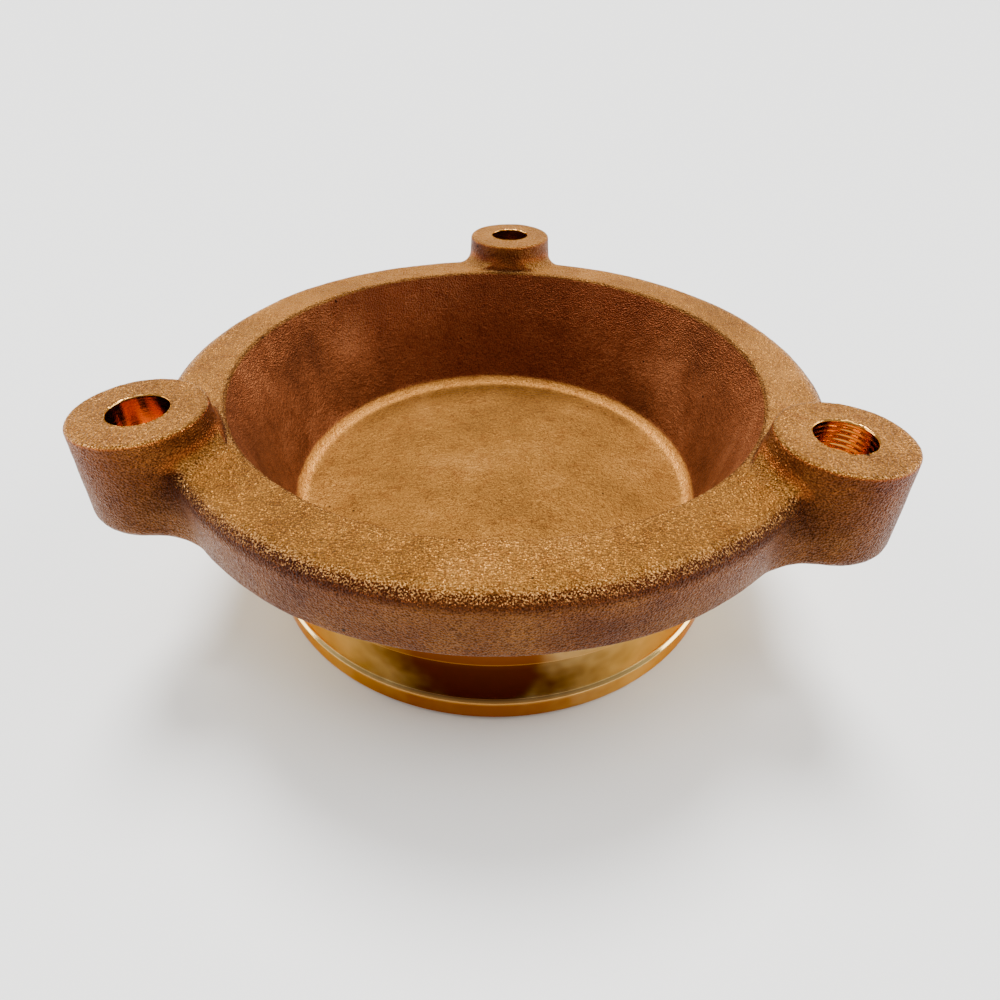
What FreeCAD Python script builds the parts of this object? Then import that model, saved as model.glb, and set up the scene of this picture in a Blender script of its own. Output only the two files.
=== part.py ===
"""Bolt-on bronze cap: a dished casting with three lugs and a turned spigot, and its seal ring.

Millimetres, +Z up out of the cup. The origin is on the cap's axis, at the seat plane under
the flange. One lug points along +Y and the other two stand 120 degrees either side of it.
"""
import FreeCAD, Part
import math
import os
import Sketcher
from FreeCAD import Vector

SIZES = {
    "flange_radius": 60.0,
    "flange_height": 11.5,
    "rim_radius": 49.0,
    "cup_depth": 15.5,
    "cup_floor_radius": 41.1,
    "floor_fillet": 3.5,
    "rim_fillet": 0.5,
    "flange_round": 3.0,
    "base_round": 1.2,
    "spigot_radius": 48.5,
    "spigot_depth": 32.7,
    "spigot_chamfer": 0.8,
    "neck_undercut": 0.6,
    "ring_groove_top": 4.5,
    "ring_groove_width": 4.0,
    "ring_groove_cut": 2.45,
    "relief_top": 17.2,
    "relief_bottom": 28.0,
    "relief_cut": 0.6,
    "recess_radius": 42.0,
    "recess_ceiling_radius": 41.4,
    "recess_ceiling": 21.5,
    "recess_fillet": 3.0,
    "bolt_circle_radius": 60.5,
    "lug_count": 3,
    "lug_foot_radius": 11.5,
    "lug_height": 17.2,
    "lug_draft": 4.5,
    "lug_blend": 0.4,
    "lug_hole_radius": 4.5,
    "lug_rim_round": 0.5,
    "ring_section_radius": 1.5,
    "tool_overrun": 1.0,
}
SHEET = "Sizes"
TOUCH = 1e-3
SHORTEST_CLIMB = 1.0
VOLUME_SLACK = 0.01


def size_sheet(doc):
    """The driving dimensions, one alias to a row."""
    sheet = doc.addObject("Spreadsheet::Sheet", SHEET)
    for row, (alias, value) in enumerate(SIZES.items(), start=1):
        sheet.set(f"A{row}", alias)
        sheet.set(f"B{row}", str(value))
        sheet.setAlias(f"B{row}", alias)
    doc.recompute()


def number(text):
    """Value of a sum of sheet names, such as 'spigot_radius - neck_undercut'."""
    total, sign = 0.0, 1.0
    for word in text.split():
        if word in "+-":
            sign = 1.0 if word == "+" else -1.0
        else:
            total += sign * SIZES.get(word, 0.0)
    return total


def bound(text):
    """The same sum as an expression on the sheet."""
    return " ".join(f"{SHEET}.{word}" if word in SIZES else word for word in text.split())


def origin_plane(body, role):
    """One of the body's own origin planes."""
    return next(item for item in body.Origin.OriginFeatures if item.Role == role)


def new_sketch(body, name, role):
    """An empty sketch on one of the body's origin planes."""
    sketch = body.newObject("Sketcher::SketchObject", name)
    sketch.AttachmentSupport = (origin_plane(body, role), [""])
    sketch.MapMode = "FlatFace"
    return sketch


def constrain(sketch, kind, places, text):
    """A dimension of the sketch, bound to the sheet."""
    index = sketch.addConstraint(Sketcher.Constraint(kind, *places, number(text)))
    sketch.setExpression(f"Constraints[{index}]", bound(text))


def outline(sketch, corners):
    """A closed outline of straight lines; each corner is two sums of sheet names."""
    points = [Vector(number(across), number(up), 0) for across, up in corners]
    for index, start in enumerate(points):
        sketch.addGeometry(Part.LineSegment(start, points[(index + 1) % len(points)]), False)
    for index, (across, up) in enumerate(corners):
        before = (index - 1) % len(corners)
        sketch.addConstraint(Sketcher.Constraint("Coincident", before, 2, index, 1))
        if across == "0":
            sketch.addConstraint(Sketcher.Constraint("PointOnObject", index, 1, -2))
        else:
            constrain(sketch, "DistanceX", (-1, 1, index, 1), across)
        if up == "0":
            sketch.addConstraint(Sketcher.Constraint("PointOnObject", index, 1, -1))
        else:
            constrain(sketch, "DistanceY", (-1, 1, index, 1), up)


def lug_circle(sketch, radius):
    """A circle round the axis of the lug on +Y."""
    centre = Vector(0, number("bolt_circle_radius"), 0)
    sketch.addGeometry(Part.Circle(centre, Vector(0, 0, 1), number(radius)), False)
    sketch.addConstraint(Sketcher.Constraint("PointOnObject", 0, 3, -2))
    constrain(sketch, "DistanceY", (-1, 1, 0, 3), "bolt_circle_radius")
    constrain(sketch, "Radius", (0,), radius)


def turn(body, kind, name, corners):
    """A revolved feature about Z: PartDesign::Revolution adds and PartDesign::Groove cuts."""
    sketch = new_sketch(body, f"{name}_section", "XZ_Plane")
    outline(sketch, corners)
    feature = body.newObject(kind, name)
    feature.Profile = sketch
    feature.ReferenceAxis = (sketch, ["V_Axis"])
    feature.Angle = 360
    body.Document.recompute()
    return feature


def around_the_axis(body, feature, name):
    """The feature repeated once for each lug."""
    pattern = body.newObject("PartDesign::PolarPattern", name)
    pattern.Originals = [feature]
    pattern.Axis = (next(item for item in body.Origin.OriginFeatures if item.Role == "Z_Axis"), [""])
    pattern.Angle = 360
    pattern.setExpression("Occurrences", bound("lug_count"))
    body.Tip = pattern
    body.Document.recompute()
    return pattern


def edges_where(feature, wanted):
    """Names of the feature's edges that pass the test."""
    edges = enumerate(feature.Shape.Edges, start=1)
    return [f"Edge{index}" for index, edge in edges if wanted(edge)]


def ring_edge(radius, height):
    """A test for a full circle of this radius about the cap's axis, at this height."""
    def wanted(edge):
        middle = edge.BoundBox.Center
        size = edge.BoundBox.XLength / 2
        level = edge.BoundBox.ZLength < TOUCH and abs(middle.z - height) < TOUCH
        return level and abs(size - radius) < TOUCH and math.hypot(middle.x, middle.y) < TOUCH
    return wanted


def dress(body, kind, name, edges, size):
    """A fillet or chamfer on the tip's edges, its size bound to the sheet."""
    base = body.Tip
    feature = body.newObject(kind, name)
    feature.Base = (base, edges)
    feature.setExpression("Radius" if kind.endswith("Fillet") else "Size", bound(size))
    body.Document.recompute()
    return feature


def turned_blank(body):
    """Flange, cup, spigot and cored recess as one section turned about Z."""
    turn(body, "PartDesign::Revolution", "blank", [
        ("0", "- cup_depth"),
        ("cup_floor_radius", "- cup_depth"),
        ("rim_radius", "flange_height"),
        ("flange_radius", "flange_height"),
        ("flange_radius", "0"),
        ("spigot_radius", "0"),
        ("spigot_radius", "- spigot_depth"),
        ("recess_radius", "- spigot_depth"),
        ("recess_ceiling_radius", "- recess_ceiling"),
        ("0", "- recess_ceiling"),
    ])
    rounds = [
        ("floor_corner", "floor_fillet", "cup_floor_radius", "- cup_depth"),
        ("rim_corner", "rim_fillet", "rim_radius", "flange_height"),
        ("flange_corner", "flange_round", "flange_radius", "flange_height"),
        ("recess_corner", "recess_fillet", "recess_ceiling_radius", "- recess_ceiling"),
    ]
    for name, size, radius, height in rounds:
        edges = edges_where(body.Tip, ring_edge(number(radius), number(height)))
        dress(body, "PartDesign::Fillet", name, edges, size)


def lug_distance(point):
    """How far a point is from the nearest lug's axis, in plan."""
    reach = number("bolt_circle_radius")
    count = SIZES["lug_count"]
    turns = [math.pi / 2 + 2 * math.pi * index / count for index in range(count)]
    return min(math.hypot(point.x - reach * math.cos(t), point.y - reach * math.sin(t)) for t in turns)


def edge_middle(edge):
    """The point half way along an edge."""
    return edge.valueAt((edge.FirstParameter + edge.LastParameter) / 2)


def lugs(body):
    """Three drafted lugs, flush with the flange's underside and blended into it."""
    sketch = new_sketch(body, "lug_outline", "XY_Plane")
    lug_circle(sketch, "lug_foot_radius")
    lug = body.newObject("PartDesign::Pad", "lug")
    lug.Profile = sketch
    lug.setExpression("Length", bound("lug_height"))
    lug.setExpression("TaperAngle", "-" + bound("lug_draft"))
    body.Document.recompute()
    around_the_axis(body, lug, "lugs")

    def meets_flange(edge):
        middle = edge_middle(edge)
        on_top = abs(middle.z - number("flange_height")) < TOUCH
        climbs = SHORTEST_CLIMB < edge.BoundBox.ZLength < number("flange_height")
        return (on_top or climbs) and lug_distance(middle) < number("lug_foot_radius")

    def outer_base(edge):
        middle = edge_middle(edge)
        level = abs(middle.z) < TOUCH and edge.BoundBox.ZLength < TOUCH
        return level and math.hypot(middle.x, middle.y) > number("spigot_radius") + TOUCH

    def lug_rim(edge):
        return abs(edge_middle(edge).z - number("lug_height")) < TOUCH

    dress(body, "PartDesign::Fillet", "lug_blends", edges_where(body.Tip, meets_flange), "lug_blend")
    dress(body, "PartDesign::Fillet", "base_edge", edges_where(body.Tip, outer_base), "base_round")
    dress(body, "PartDesign::Fillet", "lug_rims", edges_where(body.Tip, lug_rim), "lug_rim_round")


def lug_holes(body):
    """A plain through hole on each lug's axis."""
    before = body.Shape.Volume
    sketch = new_sketch(body, "hole_outline", "XY_Plane")
    lug_circle(sketch, "lug_hole_radius")
    hole = body.newObject("PartDesign::Pocket", "lug_hole")
    hole.Profile = sketch
    hole.Reversed = True
    hole.setExpression("Length", bound("lug_height"))
    body.Document.recompute()
    around_the_axis(body, hole, "lug_holes")
    removed = math.pi * number("lug_hole_radius") ** 2 * number("lug_height") * SIZES["lug_count"]
    if abs(before - body.Shape.Volume - removed) > removed * VOLUME_SLACK:
        raise RuntimeError("the lug holes cut the wrong volume")


def spigot_turning(body):
    """Neck undercut, seal groove, relief between the two register lands, and end chamfer."""
    cuts = {
        "neck": [
            ("spigot_radius - neck_undercut", "0"),
            ("spigot_radius + tool_overrun", "0"),
            ("spigot_radius + tool_overrun", "- ring_groove_top"),
            ("spigot_radius - neck_undercut", "- ring_groove_top"),
        ],
        "ring_groove": [
            ("spigot_radius - ring_groove_cut", "- ring_groove_top"),
            ("spigot_radius + tool_overrun", "- ring_groove_top"),
            ("spigot_radius + tool_overrun", "- ring_groove_top - ring_groove_width"),
            ("spigot_radius - ring_groove_cut", "- ring_groove_top - ring_groove_width"),
        ],
        "relief": [
            ("spigot_radius - relief_cut", "- relief_top"),
            ("spigot_radius + tool_overrun", "- relief_top"),
            ("spigot_radius + tool_overrun", "- relief_bottom - tool_overrun"),
            ("spigot_radius - relief_cut", "- relief_bottom + relief_cut"),
        ],
    }
    for name, corners in cuts.items():
        before = body.Shape.Volume
        turn(body, "PartDesign::Groove", name, corners)
        if body.Shape.Volume >= before:
            raise RuntimeError(f"the {name} cut nothing")
    foot = edges_where(body.Tip, ring_edge(number("spigot_radius"), number("- spigot_depth")))
    dress(body, "PartDesign::Chamfer", "spigot_lead_in", foot, "spigot_chamfer")


def cap_casting(doc):
    """The bronze casting with its machined faces."""
    body = doc.addObject("PartDesign::Body", "cap_casting")
    turned_blank(body)
    lugs(body)
    lug_holes(body)
    spigot_turning(body)
    return body


def seal_ring(doc):
    """The O-ring, resting on the floor of its groove."""
    ring = doc.addObject("Part::Torus", "seal_ring")
    ring.setExpression("Radius1", bound("spigot_radius - ring_groove_cut + ring_section_radius"))
    ring.setExpression("Radius2", bound("ring_section_radius"))
    ring.setExpression("Placement.Base.z", f"-{SHEET}.ring_groove_top - {SHEET}.ring_groove_width / 2")
    doc.recompute()
    return ring


def check(doc, pieces):
    """Stop if any object failed to compute or any piece has no sound solid."""
    for item in doc.Objects:
        if {"Invalid", "Error"} & set(item.State):
            raise RuntimeError(f"{item.Label} failed: {item.State}")
    for piece in pieces:
        if piece.Shape.isNull() or not piece.Shape.isValid() or len(piece.Shape.Solids) != 1:
            raise RuntimeError(f"{piece.Label} has no sound solid")


def main():
    doc = FreeCAD.newDocument("cap")
    size_sheet(doc)
    pieces = [cap_casting(doc), seal_ring(doc)]
    doc.recompute()
    check(doc, pieces)
    os.makedirs("parts", exist_ok=True)
    for piece in pieces:
        piece.Shape.exportStep(os.path.join("parts", f"{piece.Label}.step"))
        box = piece.Shape.BoundBox
        print(f"{piece.Label}: {piece.Shape.Volume:.0f} mm3, z {box.ZMin:.2f} to {box.ZMax:.2f}")


main()
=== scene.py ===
"""Looks for the bronze cap: a sand-cast casting with turned faces, and its rubber seal ring.

Metres throughout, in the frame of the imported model: +Z up out of the cup, the origin on the
axis at the flange's seat plane, one lug along +Y. Sizes that shape the casting are in
millimetres in CAP and turned into metres when its mesh is made.
"""
import math

import bpy
import numpy as np
from mathutils import Matrix, Vector
from mathutils.geometry import delaunay_2d_cdt


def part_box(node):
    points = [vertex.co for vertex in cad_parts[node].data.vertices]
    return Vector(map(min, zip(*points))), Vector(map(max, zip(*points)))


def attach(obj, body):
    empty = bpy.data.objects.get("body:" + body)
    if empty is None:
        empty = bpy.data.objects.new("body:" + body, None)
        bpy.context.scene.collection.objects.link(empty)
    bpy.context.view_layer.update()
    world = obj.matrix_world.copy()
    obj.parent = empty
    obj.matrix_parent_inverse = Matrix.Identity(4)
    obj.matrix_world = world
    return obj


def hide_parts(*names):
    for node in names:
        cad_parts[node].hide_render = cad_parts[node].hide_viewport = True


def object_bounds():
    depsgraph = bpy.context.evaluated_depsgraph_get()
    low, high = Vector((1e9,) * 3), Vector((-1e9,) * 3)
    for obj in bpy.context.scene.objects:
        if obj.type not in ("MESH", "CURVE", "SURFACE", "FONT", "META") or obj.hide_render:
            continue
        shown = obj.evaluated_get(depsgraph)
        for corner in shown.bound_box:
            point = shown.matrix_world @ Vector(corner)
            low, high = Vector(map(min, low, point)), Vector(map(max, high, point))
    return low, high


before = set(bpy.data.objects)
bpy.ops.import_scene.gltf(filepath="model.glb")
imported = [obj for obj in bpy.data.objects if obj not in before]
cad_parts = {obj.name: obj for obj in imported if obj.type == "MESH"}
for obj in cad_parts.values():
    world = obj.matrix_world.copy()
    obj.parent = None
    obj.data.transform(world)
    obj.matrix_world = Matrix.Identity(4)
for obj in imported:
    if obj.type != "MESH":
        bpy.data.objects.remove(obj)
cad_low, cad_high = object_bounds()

MM = 0.001
TURN = 2 * math.pi

# ---------------------------------------------------------------- the casting's shape
CAP = {
    "flange_radius": 60.0, "flange_height": 11.5, "flange_round": 3.4, "base_round": 1.2,
    "rim_radius": 49.0, "rim_round": 1.1, "cup_depth": 15.5, "cup_floor_radius": 41.1, "floor_fillet": 3.5,
    "spigot_radius": 48.5, "spigot_depth": 32.7, "spigot_chamfer": 0.8, "neck_undercut": 0.6,
    "groove_top": 4.5, "groove_bottom": 8.5, "groove_cut": 2.45,
    "relief_top": 17.2, "relief_bottom": 28.0, "relief_cut": 0.6,
    "recess_radius": 42.0, "recess_ceiling_radius": 41.4, "recess_ceiling": 21.5, "recess_fillet": 3.0,
    "bolt_circle": 60.5, "hole_radius": 4.5, "hole_break": 0.3,
    "lug_foot_radius": 11.5, "lug_height": 17.2, "lug_draft": 4.5, "lug_top_round": 0.7,
    "lug_foot_round": 3.2, "blend_top": 3.0, "blend_side": 5.5,
}
LUG_ANGLES = [TURN / 4 + TURN * k / 3 for k in range(3)]

# The grid that the casting's surface is found on, in mm. Each run is (where it ends, its step),
# close together where the casting has small features.
GRID_INNER = 30.0
RADIUS_RUNS = ((37.5, 0.75), (45.5, 0.5), (47.5, 0.25), (48.75, 0.125), (50.5, 0.25), (72.7, 0.32))
GRID_LOWEST = -33.1
HEIGHT_RUNS = (
    (-31.7, 0.2), (-28.4, 0.8), (-27.3, 0.14), (-24.6, 0.65), (-21.4, 0.4), (-17.5, 0.6), (-16.9, 0.1),
    (-12.8, 0.4), (-8.8, 0.7), (-8.2, 0.15), (-4.8, 0.7), (-4.2, 0.15), (-0.6, 0.6), (2.9, 0.2),
    (8.5, 0.35), (13.0, 0.2), (16.1, 0.33), (17.6, 0.17),
)
LUG_ARC_STEP = 0.3
RIM_ARC_STEP = 0.66
LUG_ARC_REACH = 14.5

# The cast skin's unevenness: (height in mm, size of its features in mm, seed).
SKIN_WAVES = ((0.10, 19.0, 1), (0.05, 7.5, 2), (0.03, 3.1, 3))
SKIN_GRAINS = ((0.030, 1.15, 4), (0.024, 0.62, 5))
SKIN_SUNK = 0.12


def rounded(corners, radii):
    """A closed outline in (radius, height) with its corners turned into arcs of the given radii."""
    points = []
    count = len(corners)
    for index in range(count):
        corner = np.array(corners[index], float)
        before = np.array(corners[index - 1], float) - corner
        after = np.array(corners[(index + 1) % count], float) - corner
        before /= np.linalg.norm(before)
        after /= np.linalg.norm(after)
        radius = radii.get(index, 0.0)
        if radius == 0.0:
            points.append(corner)
            continue
        half = math.acos(np.clip(before @ after, -1, 1)) / 2
        run = radius / math.tan(half)
        middle = (before + after) / np.linalg.norm(before + after)
        centre = corner + middle * radius / math.sin(half)
        start = corner + before * run - centre
        finish = corner + after * run - centre
        a0 = math.atan2(start[1], start[0])
        sweep = (math.atan2(finish[1], finish[0]) - a0 + math.pi) % TURN - math.pi
        for share in np.linspace(0, 1, 13):
            angle = a0 + sweep * share
            points.append(centre + radius * np.array([math.cos(angle), math.sin(angle)]))
    return np.array(points)


def outline_distance(outline, across, up):
    """Signed distance in mm from each (across, up) grid point to the outline, negative inside."""
    px, py = np.meshgrid(across, up, indexing="ij")
    nearest = np.full(px.shape, np.inf)
    inside = np.zeros(px.shape, bool)
    for (x0, y0), (x1, y1) in zip(outline, np.roll(outline, -1, axis=0)):
        dx, dy = x1 - x0, y1 - y0
        share = np.clip(((px - x0) * dx + (py - y0) * dy) / (dx * dx + dy * dy), 0, 1)
        nearest = np.minimum(nearest, np.hypot(px - x0 - share * dx, py - y0 - share * dy))
        if dy != 0:
            crosses = (py < y0) != (py < y1)
            inside ^= crosses & (px < x0 + (py - y0) * dx / dy)
    return np.where(inside, -nearest, nearest)


def blended_union(a, b, radius):
    """Union of two distance fields with a concave fillet where they meet."""
    left = np.maximum(radius - a, 0)
    right = np.maximum(radius - b, 0)
    return np.maximum(radius, np.minimum(a, b)) - np.hypot(left, right)


def rounded_overlap(a, b, radius):
    """Intersection of two distance fields with a convex rounding where they meet."""
    left = np.maximum(radius + a, 0)
    right = np.maximum(radius + b, 0)
    return np.minimum(-radius, np.maximum(a, b)) + np.hypot(left, right)


def fade(value, start, finish):
    """0 before start, 1 after finish, smooth between."""
    share = np.clip((value - start) / (finish - start), 0, 1)
    return share * share * (3 - 2 * share)


def spaced(start, *runs):
    """Grid lines from start through each (end, step) run."""
    lines = [np.array([start])]
    for end, step in runs:
        first = lines[-1][-1]
        lines.append(np.linspace(first, end, max(2, round(abs(end - first) / step) + 1))[1:])
    return np.concatenate(lines)


def grid_lines():
    """The cylindrical grid's radii, angles and heights; the angles are closer together at the lugs."""
    fine = LUG_ARC_STEP / CAP["bolt_circle"]
    coarse = RIM_ARC_STEP / CAP["flange_radius"]
    reach = LUG_ARC_REACH / CAP["bolt_circle"]
    third = TURN / 3
    angles = spaced(LUG_ANGLES[0] - reach, *[
        run for k in range(3)
        for run in ((LUG_ANGLES[k] + reach, fine), (LUG_ANGLES[0] + third * (k + 1) - reach, coarse))
    ])[:-1]
    return spaced(GRID_INNER, *RADIUS_RUNS), angles, spaced(GRID_LOWEST, *HEIGHT_RUNS)


def wall_radius(height):
    """Radius of the cup's drafted wall at a height."""
    share = (height + CAP["cup_depth"]) / (CAP["flange_height"] + CAP["cup_depth"])
    return CAP["cup_floor_radius"] + share * (CAP["rim_radius"] - CAP["cup_floor_radius"])


def lug_distance(radii, angles):
    """Plan distance from each (radius, angle) to the nearest lug's axis."""
    away = [
        np.sqrt(radii[:, None] ** 2 + CAP["bolt_circle"] ** 2
                - 2 * radii[:, None] * CAP["bolt_circle"] * np.cos(angles[None, :] - lug))
        for lug in LUG_ANGLES
    ]
    return np.minimum.reduce(away)


def casting_field(radii, angles, heights):
    """Signed distance field of the casting on the cylindrical grid, in mm."""
    c = CAP
    deep = -6.0
    flange = rounded([
        (wall_radius(deep), deep), (c["flange_radius"], deep),
        (c["flange_radius"], c["flange_height"]), (c["rim_radius"], c["flange_height"]),
    ], {2: c["flange_round"], 3: c["rim_round"]})
    spigot, neck = c["spigot_radius"], c["spigot_radius"] - c["neck_undercut"]
    groove, relief = spigot - c["groove_cut"], spigot - c["relief_cut"]
    inside_flange = 5.0
    body = rounded([
        (0, -c["cup_depth"]), (c["cup_floor_radius"], -c["cup_depth"]),
        (wall_radius(inside_flange), inside_flange), (neck, inside_flange),
        (neck, -c["groove_top"]), (groove, -c["groove_top"]),
        (groove, -c["groove_bottom"]), (spigot, -c["groove_bottom"]),
        (spigot, -c["relief_top"]), (relief, -c["relief_top"]),
        (relief, -c["relief_bottom"] + c["relief_cut"]), (spigot, -c["relief_bottom"]),
        (spigot, -c["spigot_depth"] + c["spigot_chamfer"]),
        (spigot - c["spigot_chamfer"], -c["spigot_depth"]),
        (c["recess_radius"], -c["spigot_depth"]), (c["recess_ceiling_radius"], -c["recess_ceiling"]),
        (0, -c["recess_ceiling"]),
    ], {1: c["floor_fillet"], 15: c["recess_fillet"]})
    flange_far = outline_distance(flange, radii, heights)[:, None, :]
    body_far = outline_distance(body, radii, heights)[:, None, :]
    away = lug_distance(radii, angles)[:, :, None]
    up = heights[None, None, :]
    slope = math.tan(math.radians(c["lug_draft"]))
    tapered = away - (c["lug_foot_radius"] - slope * up)
    lug = rounded_overlap(tapered, up - c["lug_height"], c["lug_top_round"])
    outside_rim = fade(radii, c["rim_radius"] + 0.2, c["rim_radius"] + 1.6)[:, None, None]
    outer = fade(radii, 52.0, 57.0)[:, None, None]
    lower = 1 - fade(up, 5.0, 10.5)
    blend = c["blend_top"] + (c["blend_side"] - c["blend_top"]) * lower * outer
    blend = 0.01 + outside_rim * blend
    upper = blended_union(flange_far, lug, blend)
    foot = c["base_round"] + (c["lug_foot_round"] - c["base_round"]) * fade(-away, -15.0, -10.0)
    upper = rounded_overlap(upper, -up, foot)
    solid = np.minimum(upper, body_far)
    return rounded_overlap(solid, c["hole_radius"] - away, c["hole_break"])


CORNERS = [(i, j, k) for i in (0, 1) for j in (0, 1) for k in (0, 1)]


def surface_nets(field, radii, angles, heights):
    """Vertices (radius, angle, height) and quads on the field's zero; the angle wraps round."""
    field = np.concatenate([field, field[:, :1]], axis=1)
    angles = np.append(angles, angles[0] + TURN)
    solid = field < 0
    cells = tuple(n - 1 for n in field.shape)

    def corner(array, shift):
        return array[tuple(slice(s, s + n) for s, n in zip(shift, cells))]

    count = sum(corner(solid, shift).astype(np.int8) for shift in CORNERS)
    where = np.argwhere((count > 0) & (count < 8))
    index = np.full(cells, -1, np.int32)
    index[tuple(where.T)] = np.arange(len(where))
    total, hits = np.zeros((len(where), 3)), np.zeros(len(where))
    for axis in range(3):
        for shift in (s for s in CORNERS if s[axis] == 0):
            near = where + shift
            far = near + np.eye(3, dtype=int)[axis]
            f0, f1 = field[tuple(near.T)], field[tuple(far.T)]
            cut = (f0 < 0) != (f1 < 0)
            share = np.where(cut, f0 / np.where(cut, f0 - f1, 1), 0)[:, None]
            ends = [np.stack([radii[p[:, 0]], angles[p[:, 1]], heights[p[:, 2]]], 1) for p in (near, far)]
            total += np.where(cut[:, None], ends[0] + share * (ends[1] - ends[0]), 0)
            hits += cut
    quads = []
    for axis in range(3):
        one, two = [(1, 2), (2, 0), (0, 1)][axis]
        size = [n - (a == axis) for a, n in enumerate(solid.shape)]
        low = solid[tuple(slice(0, n) for n in size)]
        high = solid[tuple(slice(a == axis, n + (a == axis)) for a, n in enumerate(size))]
        edges = np.argwhere(low != high)
        edges = edges[edges[:, 1] < cells[1]]
        ring = []
        for back in ((0, 0), (1, 0), (1, 1), (0, 1)):
            cell = edges.copy()
            cell[:, one] -= back[0]
            cell[:, two] -= back[1]
            cell[:, 1] %= cells[1]
            whole = np.all((cell >= 0) & (cell < cells), axis=1)
            ring.append(np.where(whole, index[tuple(np.clip(cell, 0, np.array(cells) - 1).T)], -1))
        ring = np.stack(ring, 1)
        flip = low[tuple(edges.T)]
        ring[~flip] = ring[~flip][:, ::-1]
        quads.append(ring[np.all(ring >= 0, axis=1)])
    return total / hits[:, None], np.concatenate(quads)


def value_noise(points, size, seed):
    """Smooth noise from -1 to 1 at each point (mm), with features about size mm across."""
    scaled = points / size + seed * 17.31
    base = np.floor(scaled).astype(np.int64)
    part = scaled - base
    part = part * part * (3 - 2 * part)
    total = np.zeros(len(points))
    for shift in CORNERS:
        cell = base + shift
        mixed = (cell[:, 0] * 73856093) ^ (cell[:, 1] * 19349663)
        mixed = mixed ^ (cell[:, 2] * 83492791) ^ (seed * 2654435761)
        mixed = (mixed ^ (mixed >> 13)) * 1274126177 & 0x7FFFFFFF
        mixed = (mixed ^ (mixed >> 16)) & 0xFFFF
        weight = np.prod(np.where(shift, part, 1 - part), axis=1)
        total += weight * (mixed / 32767.5 - 1)
    return total


def closing_disc(ring, spacing):
    """Triangles that fill a flat horizontal ring of points: its inner points and all the faces."""
    radius = np.hypot(ring[0, 0], ring[0, 1])
    side = np.arange(-radius, radius, spacing)
    px, py = np.meshgrid(side, side * math.sqrt(3) / 2 * 1.15)
    px = px + spacing / 2 * (np.arange(len(side)) % 2)[:, None]
    inner = np.stack([px.ravel(), py.ravel()], 1)
    inner = inner[np.hypot(inner[:, 0], inner[:, 1]) < radius - 0.6 * spacing]
    flat = np.concatenate([ring[:, :2], inner])
    around = [(k, (k + 1) % len(ring)) for k in range(len(ring))]
    points, _, faces, *_ = delaunay_2d_cdt([Vector(p) for p in flat], around, [], 1, 1e-6)
    if len(points) != len(flat):
        raise RuntimeError("the disc's points moved")
    return np.column_stack([inner, np.full(len(inner), ring[0, 2])]), np.array([tuple(f) for f in faces])


def casting_shape():
    """Vertices in mm and faces of the whole casting, closed."""
    radii, angles, heights = grid_lines()
    points, quads = surface_nets(casting_field(radii, angles, heights), radii, angles, heights)
    radius, angle, height = points.T
    xyz = np.stack([radius * np.cos(angle), radius * np.sin(angle), height], 1)
    faces = [tuple(quad) for quad in quads.tolist()]
    edge = np.flatnonzero(points[:, 0] < (radii[0] + radii[1]) / 2 + 1e-6)
    for level, upward in ((-CAP["cup_depth"], True), (-CAP["recess_ceiling"], False)):
        ring = edge[np.abs(points[edge, 2] - level) < 0.5]
        ring = ring[np.argsort(points[ring, 1])]
        inner, triangles = closing_disc(xyz[ring], 0.7)
        number = np.concatenate([ring, np.arange(len(inner)) + len(xyz)])
        order = (0, 1, 2) if upward else (0, 2, 1)
        faces += [tuple(face) for face in number[triangles][:, order].tolist()]
        xyz = np.concatenate([xyz, inner])
    return xyz, faces


def turned_share(xyz):
    """1 on the faces that were machined after casting, 0 on the cast skin."""
    radius, height = np.hypot(xyz[:, 0], xyz[:, 1]), xyz[:, 2]
    skirt_middle = np.where(height > -CAP["cup_depth"] - 3, wall_radius(height) + 1.0, 44.5)
    outside_spigot = (height < -0.05) & ((radius > skirt_middle) | (height < -CAP["spigot_depth"] + 0.05))
    seat = (height < 0.12) & (radius > skirt_middle)
    reach = CAP["bolt_circle"]
    lug = np.array([[reach * math.cos(angle), reach * math.sin(angle)] for angle in LUG_ANGLES])
    away = np.min(np.hypot(*(xyz[:, None, :2] - lug[None]).transpose(2, 0, 1)), axis=1)
    bore = away < CAP["hole_radius"] + 0.12
    return (outside_spigot | seat | bore).astype(float)


def weathered(xyz, normals, turned):
    """The cast skin pushed in and out: slow waviness, lumps from the sand mould, and grain."""
    skin = 1 - turned
    depth = sum(height * value_noise(xyz, size, seed) for height, size, seed in SKIN_WAVES)
    grain = sum(height * value_noise(xyz, size, seed) for height, size, seed in SKIN_GRAINS)
    rough = 0.55 + 0.45 * fade(value_noise(xyz, 11.0, 6), -0.3, 0.5)
    return xyz + normals * (skin * (depth + grain * rough) - SKIN_SUNK * skin)[:, None]


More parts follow.
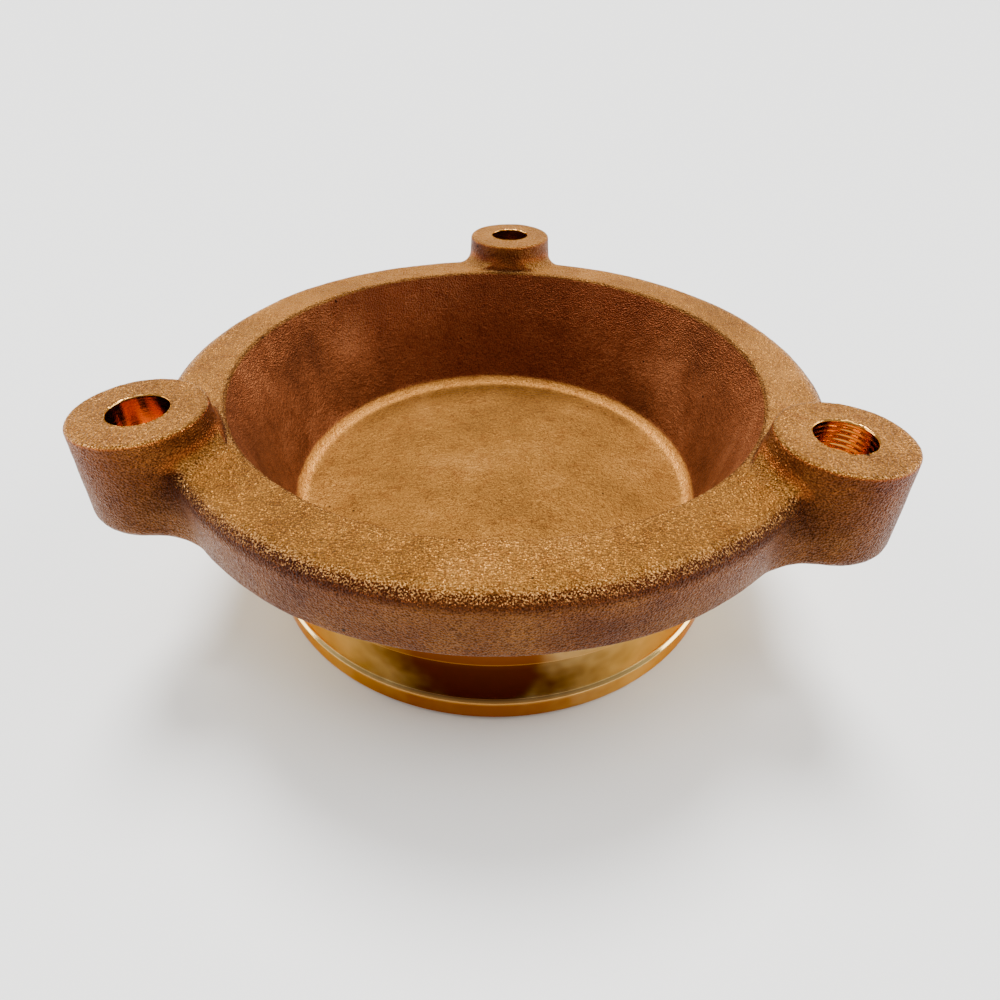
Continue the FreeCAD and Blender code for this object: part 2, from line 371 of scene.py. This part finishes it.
def make_casting():
    """The casting as one closed mesh, its turned faces marked for their own material."""
    xyz, faces = casting_shape()
    mesh = bpy.data.meshes.new("bronze_casting")
    mesh.from_pydata((xyz * MM).tolist(), [], faces)
    normals = np.zeros(len(xyz) * 3)
    mesh.vertices.foreach_get("normal", normals)
    turned = turned_share(xyz)
    xyz = weathered(xyz, normals.reshape(-1, 3), turned)
    mesh.vertices.foreach_set("co", (xyz * MM).ravel())
    mesh.shade_smooth()
    corners = np.zeros(len(mesh.loops), int)
    mesh.loops.foreach_get("vertex_index", corners)
    starts = np.zeros(len(mesh.polygons), int)
    mesh.polygons.foreach_get("loop_start", starts)
    share = np.add.reduceat(turned[corners], starts) / np.diff(np.append(starts, len(corners)))
    mesh.polygons.foreach_set("material_index", (share > 0.5).astype(int))
    mesh.materials.append(cast_skin())
    mesh.materials.append(turned_bronze())
    mesh.update()
    casting = bpy.data.objects.new("bronze_casting", mesh)
    bpy.context.collection.objects.link(casting)
    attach(casting, "root")
    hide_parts("cap_casting")


# ---------------------------------------------------------------- materials
def material(name):
    """An empty node material with its shader: the tree, and the Principled BSDF."""
    made = bpy.data.materials.new(name)
    made.use_nodes = True
    return made, made.node_tree, made.node_tree.nodes["Principled BSDF"]


def node(tree, kind, settings=None, **inputs):
    """A node with its settings and input values or links."""
    made = tree.nodes.new(kind)
    for key, value in (settings or {}).items():
        setattr(made, key, value)
    for key, value in inputs.items():
        socket = made.inputs[key.replace("_", " ")]
        if isinstance(value, bpy.types.NodeSocket):
            tree.links.new(value, socket)
        else:
            socket.default_value = value
    return made


def ramp(tree, factor, stops):
    """A colour ramp over a factor; each stop is (place, linear colour)."""
    made = node(tree, "ShaderNodeValToRGB", Fac=factor)
    elements = made.color_ramp.elements
    while len(elements) < len(stops):
        elements.new(0.5)
    for element, (place, colour) in zip(elements, stops):
        element.position = place
        element.color = (*colour, 1)
    return made.outputs["Color"]


def mixed(tree, share, first, second, blend="MIX"):
    """Two colours mixed by a number or a socket."""
    made = tree.nodes.new("ShaderNodeMix")
    made.data_type = "RGBA"
    made.blend_type = blend
    for value, socket in ((share, made.inputs[0]), (first, made.inputs[6]), (second, made.inputs[7])):
        if isinstance(value, bpy.types.NodeSocket):
            tree.links.new(value, socket)
        else:
            socket.default_value = value
    return made.outputs[2]


def noise(tree, where, scale, detail=4.0, roughness=0.6, distortion=0.0):
    """Noise over the object's own coordinates; scale is features to a metre."""
    made = node(tree, "ShaderNodeTexNoise", Vector=where, Scale=scale, Detail=detail, Roughness=roughness,
                Distortion=distortion)
    return made.outputs["Fac"]


def spread(tree, value, start, finish, low=0.0, high=1.0, smooth=False):
    """A value's run from start to finish turned into one from low to high, held at both ends."""
    kind = "SMOOTHSTEP" if smooth else "LINEAR"
    made = node(tree, "ShaderNodeMapRange", {"interpolation_type": kind}, Value=value,
                From_Min=start, From_Max=finish, To_Min=low, To_Max=high)
    return made.outputs["Result"]


def multiplied(tree, share, first, second):
    """Two colours multiplied, as strongly as share."""
    return mixed(tree, share, first, second, "MULTIPLY")


def outside_tone(tree, broad, tilt, height):
    """The skin outside the cup, with painted light: tan painted lighter on faces that look up, brown
    painted darker on the sides as shade, and a painted dark reflection where the edges turn over.
    """
    # Painted light: the same bronze is painted lighter on up-facing faces (tan) and darker on the sides
    # (brown, painted shade).
    tan = ramp(tree, broad, [
        (0.32, (0.26, 0.110, 0.021)), (0.52, (0.35, 0.152, 0.029)), (0.70, (0.43, 0.195, 0.042)),
    ])
    side = ramp(tree, broad, [
        (0.34, (0.09, 0.024, 0.006)), (0.50, (0.145, 0.048, 0.011)), (0.68, (0.20, 0.078, 0.018)),
    ])
    # Painted dark reflection on the turned-over edge, set by how much the face tilts.
    painted_shade_and_light_by_tilt = ramp(tree, tilt, [
        (0.10, (1.0, 1.0, 1.0)), (0.42, (0.42, 0.33, 0.30)),
        (0.80, (0.46, 0.36, 0.32)), (0.93, (1.0, 1.0, 1.0)),
    ])
    # Above the flange the lug sides get painted light instead.
    lit = ramp(tree, tilt, [(0.10, (1.0, 1.0, 1.0)), (0.30, (1.7, 1.6, 1.5))])
    above_flange = spread(tree, height, 0.0114, 0.0124)
    painted_shade_and_light_by_tilt = mixed(tree, above_flange, painted_shade_and_light_by_tilt, lit)
    # Sides painted lighter higher up.
    lift = mixed(tree, spread(tree, height, 0.002, 0.016), (1, 1, 1, 1), (1.5, 1.4, 1.3, 1))
    side = multiplied(tree, 1.0, multiplied(tree, 1.0, side, lift), painted_shade_and_light_by_tilt)
    least = spread(tree, above_flange, 0, 1, 0.80, 0.35)
    most = spread(tree, above_flange, 0, 1, 0.96, 0.72)
    return tan, mixed(tree, spread(tree, tilt, least, most, smooth=True), side, tan)


def cup_tone(tree, broad, tilt, place, tan):
    """The skin inside the cup: red brown up the wall with painted shade darkest at the back, a painted
    highlight on the floor's fillet, and a tan floor painted darker as shade.
    """
    wall = ramp(tree, broad, [
        (0.34, (0.16, 0.045, 0.015)), (0.52, (0.27, 0.083, 0.027)), (0.68, (0.39, 0.140, 0.050)),
    ])
    # Painted shade: the cup wall is darker towards the back.
    back_wall_painted_shade = spread(tree, place.outputs["Y"], 0.020, 0.046, high=0.75, smooth=True)
    wall = mixed(tree, back_wall_painted_shade, wall, (0.26, 0.062, 0.021, 1))
    level = spread(tree, tilt, 0.85, 0.99, smooth=True)
    # Painted highlight on the fillet round the cup floor; painted shade darkens the flat floor.
    floor = mixed(tree, level, (0.72, 0.34, 0.075, 1), multiplied(tree, 1.0, tan, (0.68, 0.70, 0.74, 1)))
    floor = mixed(tree, below_rim(tree, place), tan, floor)
    return mixed(tree, spread(tree, tilt, 0.33, 0.65, smooth=True), wall, floor)


def below_rim(tree, place):
    """0 at the rim and above it, 1 below the flange."""
    return spread(tree, place.outputs["Z"], 0.0105, -0.002, smooth=True)


def weathering_and_painted_glints(tree, where, tone, tilt, grains, within):
    """A tone with stains, dark specks, painted glints (a painted highlight) on the turned-over edge, and
    pinholes.
    """
    patches = noise(tree, where, 300, detail=5.0, roughness=0.68, distortion=0.3)
    stain = ramp(tree, patches, [
        (0.34, (0.58, 0.44, 0.38)), (0.47, (0.93, 0.89, 0.86)), (0.66, (1.0, 1.0, 1.0)),
    ])
    tone = multiplied(tree, 0.55, tone, stain)
    speck = ramp(tree, grains, [
        (0.34, (0.30, 0.22, 0.18)), (0.48, (0.85, 0.82, 0.78)), (0.60, (1.0, 1.0, 1.0)),
    ])
    tone = multiplied(tree, 0.8, tone, speck)
    # Painted highlight: glints painted on the turned-over edge outside the cup.
    corner = ramp(tree, tilt, [
        (0.52, (0.0, 0.0, 0.0)), (0.84, (1.0, 1.0, 1.0)), (0.95, (1.0, 1.0, 1.0)), (0.99, (0.0, 0.0, 0.0)),
    ])
    corner = mixed(tree, within, corner, (0.0, 0.0, 0.0, 1))
    painted_glint = multiplied(tree, 1.0, corner, spread(tree, grains, 0.53, 0.61, high=0.62))
    tone = mixed(tree, painted_glint, tone, (0.80, 0.40, 0.12, 1))
    pinholes = node(tree, "ShaderNodeTexVoronoi", Vector=where, Scale=150.0).outputs["Distance"]
    pinhole = ramp(tree, pinholes, [(0.035, (0.12, 0.08, 0.06)), (0.055, (1.0, 1.0, 1.0))])
    return multiplied(tree, 1.0, tone, pinhole)


def cast_skin():
    """Sand-cast bronze with painted light: bright tan painted on faces that look up, browner painted shade
    on the sides, and red brown in the cup with painted shade at its back.
    """
    made, tree, shader = material("cast_bronze_skin")
    where = node(tree, "ShaderNodeTexCoord").outputs["Object"]
    normal = node(tree, "ShaderNodeNewGeometry").outputs["Normal"]
    tilt = node(tree, "ShaderNodeSeparateXYZ", Vector=normal).outputs["Z"]
    place = node(tree, "ShaderNodeSeparateXYZ", Vector=where)
    flat = node(tree, "ShaderNodeMapping", Vector=where, Scale=(1, 1, 0)).outputs["Vector"]
    reach = node(tree, "ShaderNodeVectorMath", {"operation": "LENGTH"})
    tree.links.new(flat, reach.inputs[0])
    within = spread(tree, reach.outputs["Value"], 0.0496, 0.0486, smooth=True)
    broad = noise(tree, where, 60, detail=5.0, roughness=0.62)
    grains = noise(tree, where, 4200, detail=1.0, roughness=0.5)
    tan, outside = outside_tone(tree, broad, tilt, place.outputs["Z"])
    tone = mixed(tree, within, outside, cup_tone(tree, broad, tilt, place, tan))
    tree.links.new(weathering_and_painted_glints(tree, where, tone, tilt, grains, within), shader.inputs["Base Color"])
    shader.inputs["Metallic"].default_value = 0.95
    shader.inputs["Specular IOR Level"].default_value = 0.2
    smoothest = spread(tree, within, 0, 1, 0.33, 0.56)
    tree.links.new(spread(tree, grains, 0.35, 0.65, 0.62, smoothest), shader.inputs["Roughness"])
    coarse = noise(tree, where, 1200, detail=2.0, roughness=0.5)
    bump = node(tree, "ShaderNodeBump", Strength=0.6, Distance=0.0004, Height=coarse)
    sand = node(tree, "ShaderNodeTexVoronoi", Vector=where, Scale=2900.0).outputs["Distance"]
    depth = spread(tree, tilt, 0.93, 0.995, 0.00060, 0.00028)
    depth = spread(tree, below_rim(tree, place), 0, 1, depth, 0.00010)
    fine = node(tree, "ShaderNodeBump", Strength=1.0, Distance=depth, Height=sand,
                Normal=bump.outputs["Normal"])
    tree.links.new(fine.outputs["Normal"], shader.inputs["Normal"])
    return made


def spigot_painted_reflection(tree, height):
    """The spigot's painted reflection by height: painted shade darkest in the shallow relief, with painted
    highlights on the relief's edges.
    """
    depth = CAP["spigot_depth"]
    bottom, top = 1 - CAP["relief_bottom"] / depth, 1 - CAP["relief_top"] / depth
    # Painted reflection: dark brown in the relief band as painted shade, painted highlights at its top and
    # bottom edges.
    return ramp(tree, spread(tree, height, -depth * MM, 0.0), [
        (bottom - 0.020, (0.32, 0.105, 0.024)),
        (bottom - 0.005, (0.60, 0.29, 0.075)),
        (bottom + 0.020, (0.036, 0.007, 0.002)),
        (top - 0.060, (0.062, 0.012, 0.003)),
        (top - 0.012, (0.10, 0.026, 0.007)),
        (top, (0.70, 0.36, 0.10)),
        (top + 0.012, (0.15, 0.038, 0.010)),
        (top + 0.100, (0.20, 0.055, 0.014)),
    ])


def turned_bronze():
    """Bright turned bronze with fine tool rings; painted reflection makes the spigot dark brown at front
    and back and bright at its sides, with painted highlights on its relief edges, and painted shade darkens
    the bores.
    """
    made, tree, shader = material("turned_bronze")
    where = node(tree, "ShaderNodeTexCoord").outputs["Object"]
    place = node(tree, "ShaderNodeSeparateXYZ", Vector=where)
    patch = noise(tree, where, 70, detail=3.0, roughness=0.6)
    bright = ramp(tree, patch, [(0.3, (0.80, 0.52, 0.17)), (0.7, (0.92, 0.66, 0.27))])
    # Painted shade: the bores are painted darker and redder than the turned faces.
    bore_painted_shade = ramp(tree, patch, [(0.3, (0.62, 0.27, 0.055)), (0.7, (0.80, 0.42, 0.11))])
    sideways = node(tree, "ShaderNodeMath", {"operation": "ABSOLUTE"})
    tree.links.new(place.outputs["X"], sideways.inputs[0])
    edge = node(tree, "ShaderNodeMath", {"operation": "ADD"})
    tree.links.new(sideways.outputs["Value"], edge.inputs[0])
    tree.links.new(spread(tree, patch, 0.3, 0.7, -0.006, 0.006), edge.inputs[1])
    # Painted reflection: the spigot is painted bright towards its sides and dark brown at its front and
    # back.
    bright_sides_painted_reflection = spread(tree, edge.outputs["Value"], 0.007, 0.032, smooth=True)
    under = node(tree, "ShaderNodeMath", {"operation": "LESS_THAN"})
    tree.links.new(place.outputs["Z"], under.inputs[0])
    under.inputs[1].default_value = -0.0002
    tone = mixed(tree, bright_sides_painted_reflection, spigot_painted_reflection(tree, place.outputs["Z"]), bright)
    tone = mixed(tree, under.outputs["Value"], bright, tone)
    bore = spread(tree, place.outputs["Z"], 0.0006, 0.0012)
    tree.links.new(mixed(tree, bore, tone, bore_painted_shade), shader.inputs["Base Color"])
    shader.inputs["Metallic"].default_value = 1.0
    shader.inputs["Specular Tint"].default_value = (0.85, 0.45, 0.20, 1)
    stretched = node(tree, "ShaderNodeMapping", Vector=where, Scale=(60, 60, 5200)).outputs["Vector"]
    rings = noise(tree, stretched, 1.0, detail=2.0, roughness=0.6)
    tree.links.new(spread(tree, rings, 0.35, 0.65, 0.07, 0.14), shader.inputs["Roughness"])
    bump = node(tree, "ShaderNodeBump", Strength=0.25, Distance=0.00003, Height=rings)
    feed = node(tree, "ShaderNodeTexWave", {"bands_direction": "Z"}, Vector=where, Scale=349.0)
    right_bore = spread(tree, bore, 0, 1, 0, spread(tree, place.outputs["X"], 0.030, 0.040))
    grooves = node(tree, "ShaderNodeBump", Strength=right_bore, Distance=0.00009,
                   Height=feed.outputs["Fac"], Normal=bump.outputs["Normal"])
    tree.links.new(grooves.outputs["Normal"], shader.inputs["Normal"])
    return made


def seal_rubber():
    """Black nitrile rubber with a faint bloom."""
    made, tree, shader = material("nitrile_rubber")
    where = node(tree, "ShaderNodeTexCoord").outputs["Object"]
    bloom = noise(tree, where, 320, detail=4.0, roughness=0.6)
    tone = ramp(tree, bloom, [(0.35, (0.012, 0.012, 0.013)), (0.7, (0.030, 0.030, 0.032))])
    tree.links.new(tone, shader.inputs["Base Color"])
    tree.links.new(spread(tree, bloom, 0.3, 0.7, 0.38, 0.55), shader.inputs["Roughness"])
    fine = noise(tree, where, 2600, detail=2.0, roughness=0.5)
    bump = node(tree, "ShaderNodeBump", Strength=0.2, Distance=0.00005, Height=fine)
    tree.links.new(bump.outputs["Normal"], shader.inputs["Normal"])
    return made


# ---------------------------------------------------------------- the seal ring
def make_seal_ring():
    """The O-ring where the model has it, with its moulding flash line round the outside."""
    low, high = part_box("seal_ring")
    section = (high.z - low.z) / 2
    centre = (high.z + low.z) / 2
    ring_radius = (high.x - low.x) / 2 - section
    around, across = 360, 36
    flash = 0.02 * section
    points, faces = [], []
    for i in range(around):
        turn = TURN * i / around
        for j in range(across):
            angle = TURN * j / across
            ridge = flash * math.exp(-(math.sin(angle / 2) / 0.06) ** 2)
            radius = ring_radius + (section - flash + ridge) * math.cos(angle)
            points.append((radius * math.cos(turn), radius * math.sin(turn),
                           centre + (section - flash) * math.sin(angle)))
            beside, above = (i + 1) % around, (j + 1) % across
            faces.append((i * across + j, beside * across + j, beside * across + above, i * across + above))
    mesh = bpy.data.meshes.new("rubber_seal_ring")
    mesh.from_pydata(points, [], faces)
    mesh.shade_smooth()
    mesh.materials.append(seal_rubber())
    ring = bpy.data.objects.new("rubber_seal_ring", mesh)
    bpy.context.collection.objects.link(ring)
    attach(ring, "root")
    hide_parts("seal_ring")


# ---------------------------------------------------------------- camera, floor and light
AZIMUTH = math.radians(2.55)
ELEVATION = math.radians(39.53)
ROLL = math.radians(0.75)
LENS = 22.36

# Where the camera is and what it aims at, in flange radii, except the last, in mm.
DISTANCE = 2.3377
AIM_ASIDE = 0.0173
AIM_TURN = math.radians(2.64)
AIM_DROP = -0.4024
AIM_LIFT = 1.5

FLOOR_HALF = 40.0


def make_camera():
    """The viewing angle: above and in front, close up with a wide lens."""
    unit = CAP["flange_radius"] * MM
    aim = Vector((AIM_ASIDE * math.cos(AIM_TURN), AIM_ASIDE * math.sin(AIM_TURN), AIM_DROP)) * unit
    aim.z += AIM_LIFT * MM
    level = math.cos(ELEVATION)
    back = Vector((math.sin(AZIMUTH) * level, -math.cos(AZIMUTH) * level, math.sin(ELEVATION)))
    data = bpy.data.cameras.new("camera")
    data.sensor_width = 36.0
    data.lens = LENS
    data.clip_start = 0.005
    camera = bpy.data.objects.new("camera", data)
    bpy.context.collection.objects.link(camera)
    camera.location = aim + back * DISTANCE * unit
    right = back.cross(Vector((0, 0, -1))).normalized()
    up = back.cross(right)
    across = right * math.cos(ROLL) + up * math.sin(ROLL)
    above = up * math.cos(ROLL) - right * math.sin(ROLL)
    matrix = Matrix((across, above, back)).transposed().to_4x4()
    matrix.translation = camera.location
    camera.matrix_world = matrix
    bpy.context.scene.camera = camera


def make_floor():
    """A plain pale floor that the spigot stands on."""
    made, tree, shader = material("pale_floor")
    shader.inputs["Base Color"].default_value = (0.86, 0.86, 0.85, 1)
    shader.inputs["Roughness"].default_value = 0.9
    shader.inputs["Specular IOR Level"].default_value = 0.1
    mesh = bpy.data.meshes.new("floor")
    corners = [(x * FLOOR_HALF, y * FLOOR_HALF, cad_low.z) for x, y in ((-1, -1), (1, -1), (1, 1), (-1, 1))]
    mesh.from_pydata(corners, [], [(0, 1, 2, 3)])
    mesh.materials.append(made)
    floor = bpy.data.objects.new("floor", mesh)
    bpy.context.collection.objects.link(floor)


def sun(name, towards, energy, degrees):
    """A light from far away in one direction, as soft as its width in degrees."""
    data = bpy.data.lights.new(name, "SUN")
    data.energy = energy
    data.angle = math.radians(degrees)
    light = bpy.data.objects.new(name, data)
    bpy.context.collection.objects.link(light)
    light.rotation_euler = Vector(towards).to_track_quat("Z", "Y").to_euler()


def make_light():
    """Soft studio light: a broad key from above and behind, over a dim surround."""
    world = bpy.data.worlds.new("surround")
    world.use_nodes = True
    background = world.node_tree.nodes["Background"]
    background.inputs["Color"].default_value = (1.0, 0.985, 0.96, 1)
    background.inputs["Strength"].default_value = 0.50
    bpy.context.scene.world = world
    sun("broad_key", (-0.05, 0.46, 1.0), 5.5, 22)
    sun("overhead", (0.05, -0.02, 1.0), 1.8, 36)
    sun("left_fill", (-1.0, 0.22, 0.36), 2.0, 44)
    sun("right_fill", (1.0, 0.22, 0.36), 2.8, 44)


make_camera()
make_floor()
make_light()
make_casting()
make_seal_ring()
